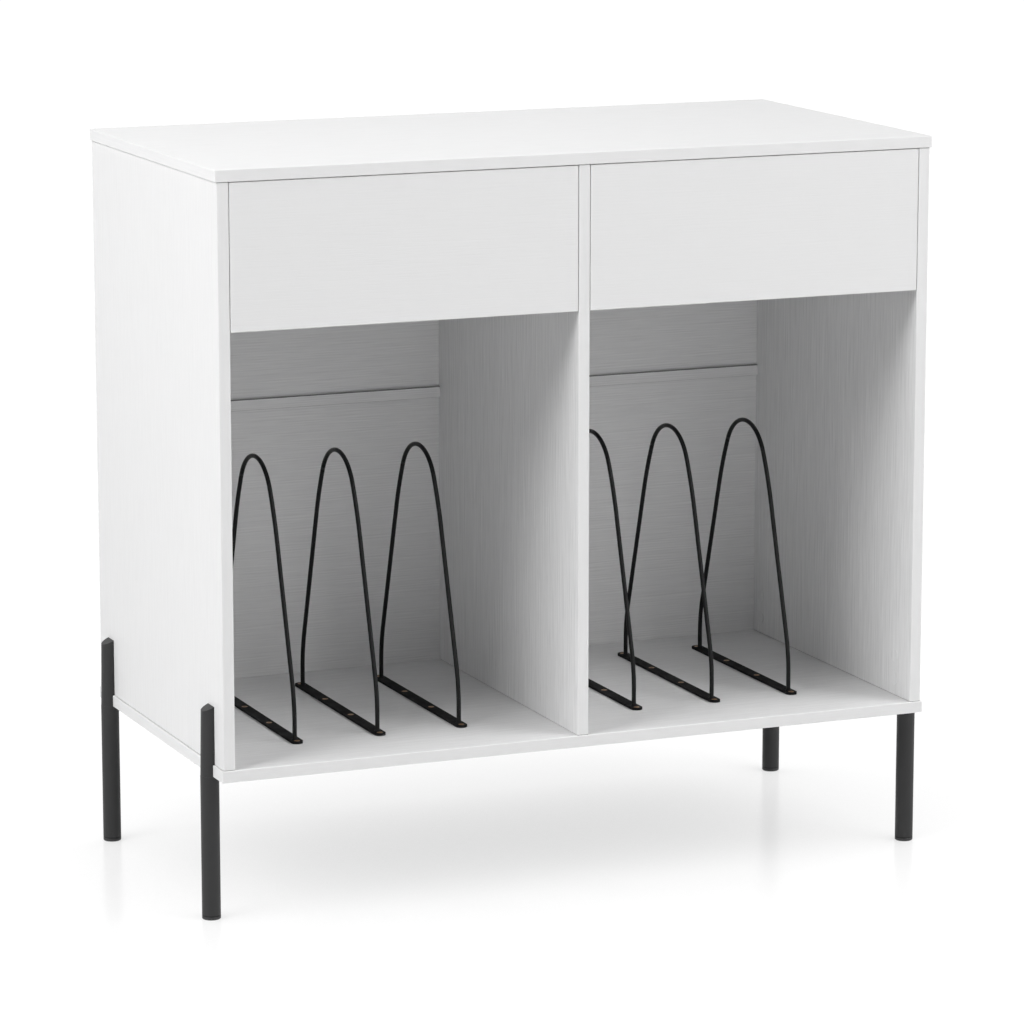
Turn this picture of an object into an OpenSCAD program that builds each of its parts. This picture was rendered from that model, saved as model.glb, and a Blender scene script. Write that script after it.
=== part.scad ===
// Record player stand: a white two-bay cabinet on four tube legs, with two drawers over
// two open bays and three wire dividers for records in each bay.
// The front faces -Y, the left side is -X, and Z = 0 is the floor.

/* [Cabinet] */
// Width of the top and bottom panels
panel_w = 780; // [720:5:860]
// Depth of the top and bottom panels
panel_d = 400; // [395:5:440]
// Height of the top surface above the floor
overall_h = 758; // [740:1:800]
// Thickness of the white boards
board_t = 12; // [12:0.5:15]
// How far the top and bottom panels stand out past the side panels
side_overhang = 2; // [1:0.5:3]
// How far the top and bottom panels stand out past the front edges
front_overhang = 1; // [0.5:0.5:3]
// Chamfer that takes the sharpness off the board edges
edge_chamfer = 0.5; // [0.3:0.1:0.8]

/* [Back] */
// Thickness of the thin back boards
back_t = 3; // [2.5:0.5:4]
// Open space behind the back boards
back_recess = 17; // [15:1:20]
// Height of the back rail's top face above the cabinet floor
rail_top = 304; // [290:1:330]
// How far the back rail stands proud of the back boards
rail_proud = 3.8; // [2:0.2:6]
// Depth of the grooves that hold the thin boards
groove_depth = 4.5; // [3.5:0.5:4.5]

/* [Legs] */
// Height of the bottom panel's underside above the floor
leg_h = 148; // [120:1:180]
// Outer diameter of the leg tube
leg_d = 19; // [18:0.5:21]
// Wall of the leg tube
leg_wall = 1.2; // [1:0.1:1.5]
// Height of the half tube that laps the side panel, above the bottom panel's underside
lap_h = 71.5; // [66:0.5:90]
// How far the leg's axis stands outside the side panel's face
leg_out = 2.5; // [2:0.5:3.5]
// Distance from the panel's front or rear edge to the leg's axis
leg_inset = 37.4; // [30:0.1:50]
// Inward lean of the half tube
lap_lean = 1.1; // [0:0.1:1.5]
// Slope of the cap that closes the half tube
cap_slope = 25; // [10:1:40]
// Height of the plug's flange under the tube
plug_flange = 3.5; // [3:0.5:6]
// Length of the plug's stem in the tube
plug_stem = 14; // [10:1:25]

/* [Wire dividers] */
// Diameter of the wire
wire_d = 4.2; // [3.5:0.1:5]
// Height of the wire's centre line at the crown, above the cabinet floor
loop_h = 276; // [270:1:290]
// Distance between the centres of the two wire feet
loop_span = 222; // [216:1:224]
// Radius of the crown
crown_r = 49; // [45:1:52]
// Turn of the crown to each side
crown_turn = 63.7; // [60:0.1:66]
// Radius of the long shoulder below the crown
shoulder_r = 335; // [320:5:350]
// Lean of the straight wire from the vertical
wire_lean = 16.6; // [16:0.1:17]
// Radius of the bend above each foot
foot_bend_r = 140; // [120:5:160]
// Width of the floor strip
strip_w = 12; // [11:0.5:16]
// Thickness of the floor strip
strip_t = 2.5; // [2:0.25:3]
// Distance between the two end screws of a strip
strip_screw_span = 236; // [234:1:240]
// Spacing of the three rear screws of a strip
strip_screw_pitch = 76; // [70:1:80]
// Spacing of the dividers in a bay
divider_pitch = 90; // [80:1:95]
// How far the right bay's dividers stand left of its middle
right_shift = 4; // [0:1:8]

/* [Drawers] */
// Height of a drawer front
front_h = 147; // [142:0.5:155]
// Gap round a drawer front
front_gap = 0.75; // [0.5:0.25:2.5]
// Height of the drawer's sides and back
box_h = 110; // [90:1:115]
// Length of the drawer's sides
box_d = 345; // [343:1:352]
// Height of the drawer's sides above the lower edge of its front
box_lift = 8; // [6:1:12]
// Thickness of the drawer's bottom board
drawer_bottom_t = 3; // [3:0.5:4]
// Height of the drawer's bottom board above the lower edge of its sides
drawer_bottom_lift = 10; // [8:1:12]
// Distance that a drawer opens
travel = 230; // [150:5:235]

/* [Ball slides] */
// Width of the space between a drawer side and the cabinet, which a slide fills
slide_t = 10; // [9.5:0.1:11]
// Height of the rail on the cabinet
slide_h = 27; // [26:0.5:30]
// Length of the rail and the runner
slide_len = 340; // [335:1:343]
// Thickness of the steel strip of the rail and runner
steel_t = 1; // [0.8:0.1:1.1]
// Height of the slide's centre above the lower edge of the drawer's sides
slide_lift = 35; // [30:1:45]
// Length of the ball cage
cage_len = 100; // [90:1:104]
// Diameter of the balls
ball_d = 3; // [2.8:0.1:3]
// Balls in each row of a cage
balls_per_row = 6; // [4:1:7]

/* [Hidden] */
$fn = 48;
// Steps of a full turn for the wire's long arcs
arc_fn = 360;
// Tiny overshoot of a cutting tool past a face
over = 1;
// Radial clearance of a screw, dowel or plug in its hole
fit = 0.05;
// Clearance of a thin board in its groove, on each face
groove_fit = 0.1;
// Clearance of a thin board at the bottom of its groove
groove_end = 0.3;

laminate = "#f2f2f2";
coated_black = "#3c3e3f";
wire_black = "#1b1b1c";
zinc = "#b9bcc0";
bronze = "#7a5c40";
beech = "#d9b98a";
plastic_black = "#2a2b2c";

// Main planes of the cabinet
top_under_z = overall_h - board_t;
floor_z = leg_h + board_t;
upright_h = top_under_z - floor_z;
front_y = -panel_d / 2 + front_overhang;
rear_y = panel_d / 2;
upright_d = rear_y - front_y;
side_out_x = panel_w / 2 - side_overhang;
side_in_x = side_out_x - board_t;
divider_x = board_t / 2;
bay_w = side_in_x - divider_x;
bay_mid_x = (side_in_x + divider_x) / 2;

// Back boards and rail
back_y = rear_y - back_recess - back_t;
rail_top_z = floor_z + rail_top;
rail_y = back_y - rail_proud;
rail_d = rear_y - rail_y;
rail_groove_depth = 4;
thin_in_groove = groove_depth - groove_end;

rail_seat = rail_groove_depth - groove_end;

// Uprights and the fasteners at their ends
upright_xs = [-side_out_x + board_t / 2, 0, side_out_x - board_t / 2];
board_mid = board_t / 2;
dowel_d = 6;
dowel_short = 9;
dowel_long = 15;
dowel_slack = 1;
dowel_rows = [-100, 90];
rail_dowel_bite = 4.5;
rail_dowel_y = (back_y + back_t + rear_y) / 2;
rail_dowel_z = rail_top_z - board_mid;
base_screw_rows = [-135, 125];
base_screw_d = 5;
base_screw_head_d = 9;
base_screw_head_h = 2.5;
base_screw_bite = 35;

// Cam fittings: a stud in one board, and a round cam in the other that grips its head
cam_rows = [-150, 140];
cam_d = 15;
cam_reach = 24;
cam_bore_d = 9.4;
cam_cross = 1.5;
cam_slot_d = 8;
cam_slot_drop = 3;
stud_d = 6;
stud_len = 9;
stud_collar_d = 9;
stud_collar_t = 1.2;
stud_neck_d = 5;
stud_head_d = 7;
stud_head_t = 3;
stud_head_drop = 1;
cam_depth = board_mid + stud_head_d / 2;

// Legs, their bolts and covers
leg_x = side_out_x + leg_out;
leg_y = panel_d / 2 - leg_inset;
lap_step = 0.15;
lap_plate_t = 4.5;
end_plate_t = 2;
lap_top_z = leg_h + lap_h;
plug_round = 0.8;
plug_seam = 0.5;
bolt_d = 6;
bolt_head_d = 11;
bolt_head_h = 2.8;
bolt_beyond = 1.5;
bolt_first = 18;
bolt_pitch = 25;
bolt_zs = [floor_z + bolt_first, floor_z + bolt_first + bolt_pitch];
cover_d = 14;
cover_t = 0.4;

// Wire dividers
divider_y = 1;
half_span = loop_span / 2;
shoulder_from = 90 - crown_turn;
crown_end = [crown_r * sin(crown_turn), loop_h - crown_r * (1 - cos(crown_turn))];
shoulder_mid = crown_end - shoulder_r * [cos(shoulder_from), sin(shoulder_from)];
lean_top = shoulder_mid + shoulder_r * [cos(wire_lean), sin(wire_lean)];
bend_top_y = half_span - foot_bend_r * (1 - cos(wire_lean));
lean_len = (bend_top_y - lean_top.x) / sin(wire_lean);
bend_z = lean_top.y - lean_len * cos(wire_lean) - foot_bend_r * sin(wire_lean);
wire_lap = 0.3;
wire_thin = 0.02;
strip_screw_d = 3.5;
strip_screw_head_d = 6.6;
strip_screw_head_h = 1.6;
strip_screw_bite = 9;
strip_end = strip_screw_span / 2;
wire_fn = 32;
strip_screws = [-strip_end, strip_end - 2 * strip_screw_pitch, strip_end - strip_screw_pitch, strip_end];
divider_xs = [
    for (bay = [-1, 1], place = [-1, 0, 1])
        bay * bay_mid_x + place * divider_pitch - (bay > 0 ? right_shift : 0)
];

// Drawers
front_w = bay_w - 2 * front_gap;
front_z = top_under_z - front_gap - front_h;
front_back_y = front_y + board_t;
box_w = bay_w - 2 * slide_t;
box_in_w = box_w - 2 * board_t;
box_left_x = -bay_mid_x - box_w / 2;
box_in_left_x = box_left_x + board_t;
box_z = front_z + box_lift;
box_back_y = front_back_y + box_d;
thin_bottom_z = box_z + drawer_bottom_lift;
drawer_cam_lifts = [28, box_h - 26];
drawer_screw_lifts = [30, box_h - 22];
drawer_screw_d = 4;
drawer_screw_head_d = 8;
drawer_screw_head_h = 2.4;
drawer_screw_bite = 28;

// Ball slides: u is the distance from the cabinet wall, v the height above the slide's centre
slide_z = box_z + slide_lift;
slide_set_back = 2;
slide_y = front_back_y + slide_set_back;
half_slide = slide_h / 2;
ball_r = ball_d / 2;
ball_gap = 0.25;
ball_v = half_slide - steel_t - ball_gap - ball_r;
ball_u = slide_t / 2;
race_r = ball_r + ball_gap;
runner_v = ball_v - race_r;
steel_bend_r = 0.4;
steel_fn = 24;
cage_t = 0.6;
cage_u = (ball_u - race_r - cage_t) / 2;
cage_tilt = 18;
cage_reach = 2.7;
cage_hole_d = ball_d + 0.2;
cage_margin = 5;
cage_y = slide_y + travel / 2 + (slide_len - travel - cage_len) / 2;
ball_pitch = (cage_len - 2 * cage_margin) / (balls_per_row - 1);
ball_ys = [for (i = [0 : balls_per_row - 1]) cage_y + cage_margin + i * ball_pitch];
slide_screw_d = 3;
slide_screw_head_d = 6;
slide_screw_head_h = 1.4;
slide_screw_bite = 5;
slide_screw_inset = 36;
slide_screw_ys = [slide_screw_inset, slide_len / 2, slide_len - slide_screw_inset];

// General shapes

// Rectangle with its corners cut at 45 degrees
function cut_corners(w, h, c) =
    [[c, 0], [w - c, 0], [w, c], [w, h - c], [w - c, h], [c, h], [0, h - c], [0, c]];

// Board with a small chamfer on all its edges, from its lowest corner
module board(size) {
    c = edge_chamfer;
    intersection() {
        linear_extrude(size.z) polygon(cut_corners(size.x, size.y, c));
        translate([0, size.y, 0]) rotate([90, 0, 0])
            linear_extrude(size.y) polygon(cut_corners(size.x, size.z, c));
        rotate([90, 0, 90]) linear_extrude(size.x) polygon(cut_corners(size.y, size.z, c));
    }
}

// Turn that points +Z along one of the axes
function turned(towards) =
    towards.x != 0 ? [0, 90 * sign(towards.x), 0]
    : towards.y != 0 ? [-90 * sign(towards.y), 0, 0]
    : [towards.z < 0 ? 180 : 0, 0, 0];

// Rod or bore from a point along an axis
module rod(from, towards, d, len) {
    translate(from) rotate(turned(towards)) cylinder(d = d, h = len);
}

// Countersunk screw whose head is flush at a point; grow widens it into its own hole
module countersunk(from, towards, d, head_d, head_h, len, grow = 0) {
    translate(from) rotate(turned(towards)) rotate_extrude()
        polygon([[0, -grow], [head_d / 2 + grow, -grow], [head_d / 2 + grow, grow],
                 [d / 2 + grow, head_h + grow], [d / 2 + grow, len + grow], [0, len + grow]]);
}

// Mirrors a left-hand shape to the right where side is 1
module to_side(side) {
    if (side > 0) mirror([1, 0, 0]) children();
    else children();
}

// Places a shape drawn at the left of the left bay in bay -1 or 1, at its side -1 or 1
module in_bay(bay, side = -1) {
    translate([bay * bay_mid_x, 0, 0]) to_side(side) translate([bay_mid_x, 0, 0]) children();
}

// Cabinet joints

// Stud that stands out of a face along -Z, with its head in the cam
module cam_stud() {
    cylinder(d = stud_d, h = stud_len);
    translate([0, 0, -stud_collar_t]) cylinder(d = stud_collar_d, h = stud_collar_t);
    translate([0, 0, -cam_reach]) cylinder(d = stud_neck_d, h = cam_reach);
    translate([0, 0, -cam_reach - stud_head_drop]) cylinder(d = stud_head_d, h = stud_head_t);
}

// Round cam that lies along +X from its open face, with its stud coming in along +Z
module cam_body() {
    difference() {
        rotate([0, 90, 0]) cylinder(d = cam_d - 2 * fit, h = cam_depth - fit);
        translate([board_mid, 0, -cam_slot_drop]) cylinder(d = cam_slot_d, h = cam_d);
        for (turn = [0, 90])
            rotate([turn, 0, 0]) translate([-over, -cam_d / 4, -cam_cross / 2])
                cube([over + cam_cross, cam_d / 2, cam_cross]);
    }
}

// Pocket for a cam in a board's face, and the bore for its stud from the board's end
module cam_pocket() {
    rotate([0, 90, 0]) translate([0, 0, -over]) cylinder(d = cam_d, h = cam_depth + over);
    translate([board_mid, 0, 0]) cylinder(d = cam_bore_d, h = cam_reach + over);
}

// Hole for the stud's thread in a face, going up from it
module stud_hole() {
    translate([0, 0, -over]) cylinder(d = stud_d + 2 * fit, h = stud_len + fit + over);
}

// Cuts that the left side panel, its mirror and the divider share at their ends
module upright_end_cuts(x_mid) {
    for (y = dowel_rows) {
        rod([x_mid, y, floor_z - over], [0, 0, 1], dowel_d + 2 * fit, dowel_long + over);
        rod([x_mid, y, top_under_z + over], [0, 0, -1], dowel_d + 2 * fit, dowel_long + over);
    }
    for (y = base_screw_rows)
        rod([x_mid, y, floor_z - over], [0, 0, 1], base_screw_d + 2 * fit, base_screw_bite + fit + over);
}

// Groove for the thin back boards in a vertical face that looks along +X at x
module back_groove(x) {
    translate([x - groove_depth, back_y - groove_fit, floor_z - over])
        cube([groove_depth + over, back_t + 2 * groove_fit, upright_h + 2 * over]);
}

// Pilot holes of one slide rail in a vertical face that looks along +X at x
module rail_pilots(x) {
    for (y = slide_screw_ys)
        countersunk([x + steel_t, slide_y + y, slide_z], [-1, 0, 0], slide_screw_d, slide_screw_head_d,
                    slide_screw_head_h, steel_t + slide_screw_bite, fit);
}

// Blind hole for the back rail's dowel in a vertical face that looks along +X at x
module rail_dowel_hole(x) {
    rod([x + over, rail_dowel_y, rail_dowel_z], [-1, 0, 0], dowel_d + 2 * fit, rail_dowel_bite + fit + over);
}

// Bolt through a side panel into a leg, or its hole
module leg_bolt(y, z, grow = 0) {
    countersunk([-side_in_x, y, z], [-1, 0, 0], bolt_d, bolt_head_d, bolt_head_h,
                board_t + lap_plate_t + bolt_beyond, grow);
}

module side_panel(side) {
    color(laminate) to_side(side) difference() {
        translate([-side_out_x, front_y, floor_z]) board([board_t, upright_d, upright_h]);
        upright_end_cuts(-side_out_x + board_mid);
        for (y = cam_rows)
            translate([-side_in_x, y, top_under_z - cam_reach]) mirror([1, 0, 0]) cam_pocket();
        back_groove(-side_in_x);
        rail_pilots(-side_in_x);
        rail_dowel_hole(-side_in_x);
        for (y = [-leg_y, leg_y], z = bolt_zs) leg_bolt(y, z, fit);
    }
}

module centre_divider() {
    color(laminate) difference() {
        translate([-divider_x, front_y, floor_z]) board([board_t, upright_d, upright_h]);
        upright_end_cuts(0);
        for (y = cam_rows)
            translate([divider_x, y, top_under_z - cam_reach]) mirror([1, 0, 0]) cam_pocket();
        for (side = [-1, 1]) to_side(side) {
            back_groove(divider_x);
            rail_pilots(divider_x);
            rail_dowel_hole(divider_x);
        }
    }
}

// Groove across both bays in the face of the top or bottom panel, for the back boards
module cross_groove(z) {
    translate([-side_in_x - groove_depth, back_y - groove_fit, z])
        cube([2 * (side_in_x + groove_depth), back_t + 2 * groove_fit, groove_depth]);
}

module top_panel() {
    color(laminate) difference() {
        translate([-panel_w / 2, -panel_d / 2, top_under_z]) board([panel_w, panel_d, board_t]);
        for (x = upright_xs) {
            for (y = cam_rows) translate([x, y, top_under_z]) stud_hole();
            for (y = dowel_rows)
                rod([x, y, top_under_z - over], [0, 0, 1], dowel_d + 2 * fit, dowel_short + fit + over);
        }
        cross_groove(top_under_z);
    }
}

// Screw up through the bottom panel into an upright, or its hole
module base_screw(x, y, grow = 0) {
    countersunk([x, y, leg_h], [0, 0, 1], base_screw_d, base_screw_head_d, base_screw_head_h,
                board_t + base_screw_bite, grow);
}

module bottom_panel() {
    color(laminate) difference() {
        translate([-panel_w / 2, -panel_d / 2, leg_h]) board([panel_w, panel_d, board_t]);
        for (x = upright_xs) {
            for (y = base_screw_rows) base_screw(x, y, fit);
            for (y = dowel_rows)
                rod([x, y, floor_z + over], [0, 0, -1], dowel_d + 2 * fit, dowel_short + fit + over);
        }
        for (x = divider_xs, y = strip_screws)
            rod([x, divider_y + y, floor_z + over], [0, 0, -1], strip_screw_d + 2 * fit,
                strip_screw_bite + fit + over);
        cross_groove(floor_z - groove_depth);
    }
}

// Back boards and rails

// Thin board of one bay from one height to another, held in its grooves
module back_board(bay, z_low, z_high) {
    color(laminate) in_bay(bay) translate([-side_in_x - thin_in_groove, back_y, z_low])
        cube([bay_w + 2 * thin_in_groove, back_t, z_high - z_low]);
}

module upper_back_board(bay) {
    back_board(bay, rail_top_z - rail_seat, top_under_z + thin_in_groove);
}

module lower_back_board(bay) {
    back_board(bay, floor_z - thin_in_groove, rail_top_z - board_t + rail_seat);
}

// Rail between side panel and divider, grooved above and below for the thin boards
module back_rail(bay) {
    color(laminate) in_bay(bay) difference() {
        translate([-side_in_x, rail_y, rail_top_z - board_t]) board([bay_w, rail_d, board_t]);
        for (z = [rail_top_z - board_t - over, rail_top_z - rail_groove_depth])
            translate([-side_in_x - over, back_y - groove_fit, z])
                cube([bay_w + 2 * over, back_t + 2 * groove_fit, rail_groove_depth + over]);
        for (end = [[-side_in_x - over, 1], [-divider_x + over, -1]])
            rod([end[0], rail_dowel_y, rail_dowel_z], [end[1], 0, 0], dowel_d + 2 * fit,
                dowel_long + fit + over);
    }
}

// Legs

// Slanted solid that lies above the cap's plane, for a leg on the origin with the panel at +X
module above_cap(drop) {
    reach = 2 * leg_d;
    translate([leg_out, 0, lap_top_z - drop]) rotate([0, -cap_slope, 0])
        translate([-reach, -reach / 2, 0]) cube([2 * reach, reach, reach]);
}

// Leaning half tube from the bottom panel's underside upwards
module lap_round(d, z_low) {
    intersection() {
        translate([0, 0, leg_h]) rotate([0, lap_lean, 0]) translate([0, 0, -leg_d])
            cylinder(d = d, h = lap_h + 2 * leg_d);
        translate([-leg_d, -leg_d, z_low]) cube([leg_d + leg_out, 2 * leg_d, lap_h + leg_h]);
    }
}

// Leg on the origin: full tube to the bottom panel, half tube up the side panel at +X
module leg_shape() {
    bore_d = leg_d - 2 * leg_wall;
    notch_x = leg_out - side_overhang;
    union() {
        difference() {
            translate([0, 0, plug_flange]) cylinder(d = leg_d, h = leg_h - plug_flange);
            cylinder(d = bore_d, h = leg_h - end_plate_t);
        }
        difference() {
            lap_round(leg_d - 2 * lap_step, leg_h);
            translate([notch_x, -leg_d, leg_h - over]) cube([leg_d, 2 * leg_d, board_t + over]);
            above_cap(0);
            difference() {
                lap_round(bore_d - 2 * lap_step, leg_h + end_plate_t);
                translate([leg_out - lap_plate_t, -leg_d, 0]) cube([leg_d, 2 * leg_d, lap_top_z + leg_d]);
                above_cap(end_plate_t);
            }
            for (z = bolt_zs)
                rod([leg_out + over, 0, z], [-1, 0, 0], bolt_d + 2 * fit,
                    lap_plate_t + bolt_beyond + 2 * over);
        }
    }
}

module leg(side, end) {
    color(coated_black) to_side(side) translate([-leg_x, end * leg_y, 0]) leg_shape();
}

// Plug with a flange as wide as the tube and a stem inside it
module foot_plug(side, end) {
    r = leg_d / 2;
    stem_r = r - leg_wall - fit;
    color(plastic_black) translate([side * leg_x, end * leg_y, 0]) union() {
        cylinder(r1 = r - plug_round, r2 = r, h = plug_round);
        translate([0, 0, plug_round]) cylinder(r = r, h = plug_flange - plug_seam - plug_round);
        translate([0, 0, plug_flange - plug_seam]) cylinder(r1 = r, r2 = r - plug_seam, h = plug_seam);
        cylinder(r = stem_r, h = plug_flange + plug_stem);
    }
}

module leg_bolts() {
    color(zinc) for (side = [-1, 1]) to_side(side) for (y = [-leg_y, leg_y], z = bolt_zs) leg_bolt(y, z);
}

// Flat stick-on covers over the bolt heads, inside the bays
module bolt_covers() {
    color(laminate) for (side = [-1, 1]) to_side(side) for (y = [-leg_y, leg_y], z = bolt_zs)
        rod([-side_in_x, y, z], [1, 0, 0], cover_d, cover_t);
}

// Wire dividers

// Arc of wire in the loop's plane. Its ends run on by a short lap, inside the next stretch,
// for which it is drawn a hair thinner
module wire_arc(mid, radius, from, to, thinner) {
    lap = wire_lap / radius * 180 / PI;
    translate([mid.x, mid.y, 0]) rotate([0, 0, from - lap])
        rotate_extrude(angle = to - from + 2 * lap, $fn = arc_fn)
            translate([radius, 0]) circle(d = wire_d - thinner, $fn = wire_fn);
}

// Straight wire down from a point in the loop's plane, leaning out by an angle
module wire_straight(top, lean, len) {
    translate([top.x, top.y, 0]) rotate([0, 0, lean]) rotate([90, 0, 0])
        cylinder(d = wire_d, h = len, $fn = wire_fn);
}

// Half of the loop below the crown, for the foot at positive local x
module half_loop() {
    wire_arc(shoulder_mid, shoulder_r, wire_lean, shoulder_from, wire_thin);
    wire_straight(lean_top, wire_lean, lean_len);
    wire_arc([half_span - foot_bend_r, bend_z], foot_bend_r, 0, wire_lean, wire_thin);
    wire_straight([half_span, bend_z], 0, bend_z - strip_t / 2);
}

// Flat strip with round ends and countersunk holes, centred on its length, lying on Z = 0
module strip() {
    difference() {
        union() {
            translate([-strip_w / 2, -strip_end, 0]) cube([strip_w, 2 * strip_end, strip_t]);
            for (y = [-strip_end, strip_end]) translate([0, y, 0]) cylinder(d = strip_w, h = strip_t);
        }
        for (y = strip_screws)
            countersunk([0, y, strip_t], [0, 0, -1], strip_screw_d, strip_screw_head_d, strip_screw_head_h,
                        strip_t + over, fit);
    }
}

module record_divider(number) {
    color(wire_black) translate([divider_xs[number - 1], divider_y, floor_z]) union() {
        strip();
        rotate([90, 0, 90]) {
            wire_arc([0, loop_h - crown_r], crown_r, shoulder_from, 180 - shoulder_from, 2 * wire_thin);
            half_loop();
            mirror([1, 0, 0]) half_loop();
        }
    }
}

module divider_screws() {
    color(bronze) for (x = divider_xs, y = strip_screws)
        countersunk([x, divider_y + y, floor_z + strip_t], [0, 0, -1], strip_screw_d, strip_screw_head_d,
                    strip_screw_head_h, strip_t + strip_screw_bite);
}

// Fittings of the cabinet

module cabinet_cam_fittings() {
    color(zinc) for (y = cam_rows) {
        for (x = upright_xs) translate([x, y, top_under_z]) cam_stud();
        for (side = [-1, 1]) to_side(side)
            translate([-side_in_x, y, top_under_z - cam_reach]) mirror([1, 0, 0]) cam_body();
        translate([divider_x, y, top_under_z - cam_reach]) mirror([1, 0, 0]) cam_body();
    }
}

module dowels() {
    color(beech) {
        for (x = upright_xs, y = dowel_rows) {
            rod([x, y, floor_z - dowel_short], [0, 0, 1], dowel_d, dowel_short + dowel_long - dowel_slack);
            rod([x, y, top_under_z + dowel_short], [0, 0, -1], dowel_d,
                dowel_short + dowel_long - dowel_slack);
        }
        for (x = [side_in_x, divider_x], side = [-1, 1]) to_side(side) {
            inward = x == side_in_x ? 1 : -1;
            rod([-x - inward * rail_dowel_bite, rail_dowel_y, rail_dowel_z], [inward, 0, 0], dowel_d,
                rail_dowel_bite + dowel_long);
        }
    }
}

module base_screws() {
    color(zinc) for (x = upright_xs, y = base_screw_rows) base_screw(x, y);
}

// Ball slides

// Puts a slide profile (u, v) on the left wall of the left bay and runs it along Y
module slide_run(y, len) {
    translate([-side_in_x, y + len, slide_z]) rotate([90, 0, 0]) linear_extrude(len) children();
}

// Quarter turn of steel strip round a point, from an angle on
module curl(mid, inner_r, from) {
    translate(mid) rotate(from) difference() {
        intersection() {
            circle(r = inner_r + steel_t, $fn = steel_fn);
            square(inner_r + steel_t);
        }
        circle(r = inner_r, $fn = steel_fn);
    }
}

// Channel on the cabinet: its flanges curl down round the outside of the balls
module rail_profile() {
    bend = steel_bend_r + steel_t;
    translate([0, bend - half_slide]) square([steel_t, slide_h - 2 * bend]);
    for (end = [0, 1]) mirror([0, end]) {
        curl([bend, half_slide - bend], steel_bend_r, 90);
        translate([bend, half_slide - steel_t]) square([ball_u - bend, steel_t]);
        curl([ball_u, ball_v], race_r, 0);
    }
}

// Channel on the drawer: its flanges curl up round the inside of the balls
module runner_profile() {
    bend = steel_bend_r + steel_t;
    translate([slide_t - steel_t, bend - runner_v]) square([steel_t, 2 * (runner_v - bend)]);
    for (end = [0, 1]) mirror([0, end]) {
        curl([slide_t - bend, runner_v - bend], steel_bend_r, 0);
        translate([ball_u, runner_v - steel_t]) square([slide_t - bend - ball_u, steel_t]);
        curl([ball_u, ball_v], race_r, 180);
    }
}

// Strip between rail and runner, whose leaning edges pass between the curls and hold the balls
module cage_profile() {
    web_to_ball = ball_u - cage_u - cage_t / 2;
    half_web = ball_v + web_to_ball * tan(cage_tilt);
    edge_len = web_to_ball / cos(cage_tilt);
    translate([cage_u, -half_web]) square([cage_t, 2 * half_web]);
    for (end = [0, 1]) mirror([0, end])
        translate([ball_u, ball_v]) rotate(-cage_tilt)
            translate([-edge_len, -cage_t / 2]) square([edge_len + cage_reach, cage_t]);
}

module slide_rail(bay, side) {
    color(zinc) in_bay(bay, side) difference() {
        slide_run(slide_y, slide_len) rail_profile();
        rail_pilots(-side_in_x);
    }
}

// Screws of one runner, from inside the channel into the drawer side, or their holes
module runner_screws(grow = 0) {
    for (y = slide_screw_ys)
        countersunk([-side_in_x + slide_t - steel_t, slide_y + y, slide_z], [1, 0, 0], slide_screw_d,
                    slide_screw_head_d, slide_screw_head_h, steel_t + slide_screw_bite, grow);
}

module slide_runner(bay, side) {
    color(zinc) in_bay(bay, side) difference() {
        slide_run(slide_y, slide_len) runner_profile();
        runner_screws(fit);
    }
}

module slide_rail_screws() {
    color(zinc) for (bay = [-1, 1], side = [-1, 1], y = slide_screw_ys) in_bay(bay, side)
        countersunk([-side_in_x + steel_t, slide_y + y, slide_z], [-1, 0, 0], slide_screw_d,
                    slide_screw_head_d, slide_screw_head_h, steel_t + slide_screw_bite);
}

// Cages of a drawer's two slides, with their balls
module ball_cages(bay) {
    color(zinc) for (side = [-1, 1]) in_bay(bay, side) {
        difference() {
            slide_run(cage_y, cage_len) cage_profile();
            for (y = ball_ys)
                rod([-side_in_x + ball_u, y, slide_z - half_slide], [0, 0, 1], cage_hole_d, slide_h);
        }
        for (y = ball_ys, end = [-1, 1])
            translate([-side_in_x + ball_u, y, slide_z + end * ball_v]) sphere(d = ball_d);
    }
}

// Drawers

// Slot round the drawer's bottom board
module bottom_slot() {
    translate([box_in_left_x - groove_depth, front_back_y - groove_depth, thin_bottom_z - groove_fit])
        cube([box_in_w + 2 * groove_depth, box_d - board_t + 2 * groove_depth,
              drawer_bottom_t + 2 * groove_fit]);
}

// Puts a cam fitting that is drawn along +X and +Z at each height of a front corner,
// with its stud pointing to the front
module at_front_corner() {
    for (lift = drawer_cam_lifts)
        translate([box_in_left_x, front_back_y, box_z + lift]) rotate([90, 0, 0]) children();
}

// Screws through a drawer side into the back, or their holes
module back_screws(grow = 0) {
    for (lift = drawer_screw_lifts)
        countersunk([box_left_x, box_back_y - board_mid, box_z + lift], [1, 0, 0], drawer_screw_d,
                    drawer_screw_head_d, drawer_screw_head_h, board_t + drawer_screw_bite, grow);
}

module drawer_front(bay) {
    color(laminate) in_bay(bay) difference() {
        translate([-bay_mid_x - front_w / 2, front_y, front_z]) board([front_w, board_t, front_h]);
        bottom_slot();
        for (side = [-1, 1]) in_bay(-1, side) at_front_corner() translate([-board_mid, 0, 0]) stud_hole();
    }
}

module drawer_side(bay, side) {
    color(laminate) in_bay(bay, side) difference() {
        translate([box_left_x, front_back_y, box_z]) board([board_t, box_d, box_h]);
        bottom_slot();
        at_front_corner() translate([0, 0, -cam_reach]) mirror([1, 0, 0]) cam_pocket();
        back_screws(fit);
        runner_screws(fit);
    }
}

module drawer_back(bay) {
    color(laminate) in_bay(bay) difference() {
        translate([box_in_left_x, box_back_y - board_t, box_z]) board([box_in_w, board_t, box_h]);
        bottom_slot();
        for (side = [-1, 1]) in_bay(-1, side) back_screws(fit);
    }
}

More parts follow.
